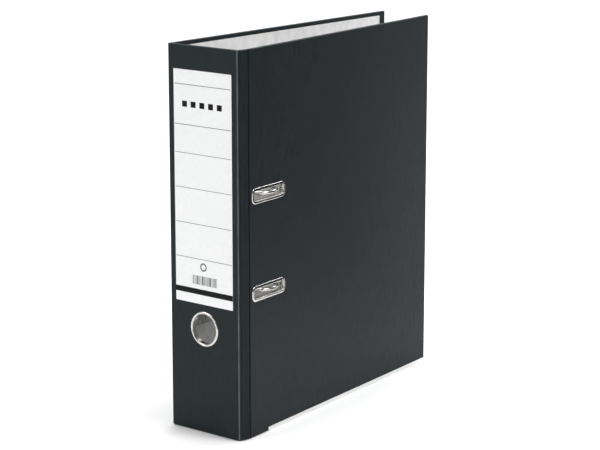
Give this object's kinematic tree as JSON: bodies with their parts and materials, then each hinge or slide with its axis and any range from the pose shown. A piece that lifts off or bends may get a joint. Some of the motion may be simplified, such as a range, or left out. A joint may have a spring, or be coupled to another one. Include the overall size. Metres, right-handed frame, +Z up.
{
  "type": "lever arch file",
  "caption": "Upright A4 lever arch file with covered board covers, spine label, thumb ring, slotted eyelets, edge protectors and a lever mechanism with wire arches.",
  "frame": {"origin": "middle of the closed file's footprint, on the surface it stands on", "axes": "+Z up along the spine, +X across the spine from the back cover to the front cover, +Y from the spine to the covers' front edges"},
  "size_m": [0.077, 0.2858, 0.318],
  "materials": {
    "greyboard": "matt pressed board",
    "cover_paper": "fibrous embossed, low sheen",
    "lining_paper": "smooth with faint clouding",
    "label_paper": "smooth matt, printed rules",
    "nickel_trim": "bright nickel plate",
    "plated_sheet": "nickel plated pressed sheet",
    "plated_wire": "nickel plated drawn wire",
    "black_plastic": "moulded, fine grain"
  },
  "bodies": {
    "spine": {"spine_board": "greyboard", "spine_paper": "cover_paper", "spine_lining": "lining_paper", "spine_label": "label_paper", "thumb_ring": "nickel_trim", "thumb_ring_washer": "nickel_trim"},
    "hinge_strip": {"strip_board": "greyboard", "strip_paper": "cover_paper", "strip_lining": "lining_paper"},
    "front_cover": {"front_board": "greyboard", "front_paper": "cover_paper", "front_lining": "lining_paper", "front_edge_protector": "nickel_trim", "upper_slot_eyelet": "nickel_trim", "lower_slot_eyelet": "nickel_trim", "upper_slot_backing": "nickel_trim", "lower_slot_backing": "nickel_trim"},
    "back_cover": {"back_board": "greyboard", "back_paper": "cover_paper", "back_lining": "lining_paper", "back_edge_protector": "nickel_trim", "base_plate": "plated_sheet", "mechanism_rivets": "plated_sheet", "upper_post": "plated_wire", "lower_post": "plated_wire", "lever_pivot_pin": "plated_sheet"},
    "bow": {"wire_bow": "plated_wire", "bow_tongue": "plated_sheet"},
    "lever": {"lever": "plated_sheet", "roller_pin": "plated_sheet"},
    "roller": {"lever_roller": "plated_sheet"},
    "compressor": {"compressor_bar": "black_plastic", "guide_studs": "plated_sheet"},
    "slide": {"compressor_slide": "plated_sheet"}
  },
  "joints": [
    {"name": "front_corner_crease", "type": "hinge", "parent": "spine", "child": "hinge_strip", "pos_m": [0.03454, -0.1407, 0.159], "axis": [0, 0, -1], "range_deg": [0, 74]},
    {"name": "front_cover_crease", "type": "hinge", "parent": "hinge_strip", "child": "front_cover", "pos_m": [0.0368, -0.13282, 0.159], "axis": [0, 0, -1], "range_deg": [0, 95]},
    {"name": "back_cover_crease", "type": "hinge", "parent": "spine", "child": "back_cover", "pos_m": [-0.03616, -0.1407, 0.159], "axis": [0, 0, 1], "range_deg": [0, 90]},
    {"name": "bow_pivot", "type": "hinge", "parent": "back_cover", "child": "bow", "pos_m": [-0.02916, -0.1171, 0.1596], "axis": [0, 0, -1], "range_deg": [0, 20]},
    {"name": "lever_pivot", "type": "hinge", "parent": "back_cover", "child": "lever", "pos_m": [-0.02551, -0.1333, 0.178], "axis": [0, -1, 0], "range_deg": [0, 90]},
    {"name": "roller_spin", "type": "hinge", "parent": "lever", "child": "roller", "pos_m": [-0.02261, -0.1333, 0.1808], "axis": [0, 1, 0], "continuous": true},
    {"name": "compressor_travel", "type": "slide", "parent": "back_cover", "child": "compressor", "axis": [1, 0, 0], "range_m": [0, 0.034]},
    {"name": "compressor_lock", "type": "slide", "parent": "compressor", "child": "slide", "axis": [0, 0, 1], "range_m": [0, 0.004]}
  ],
  "couplings": [
    {"joint": "bow_pivot", "follows": "back_cover_crease", "ratio": 0.22222},
    {"joint": "lever_pivot", "follows": "back_cover_crease", "ratio": 1}
  ]
}
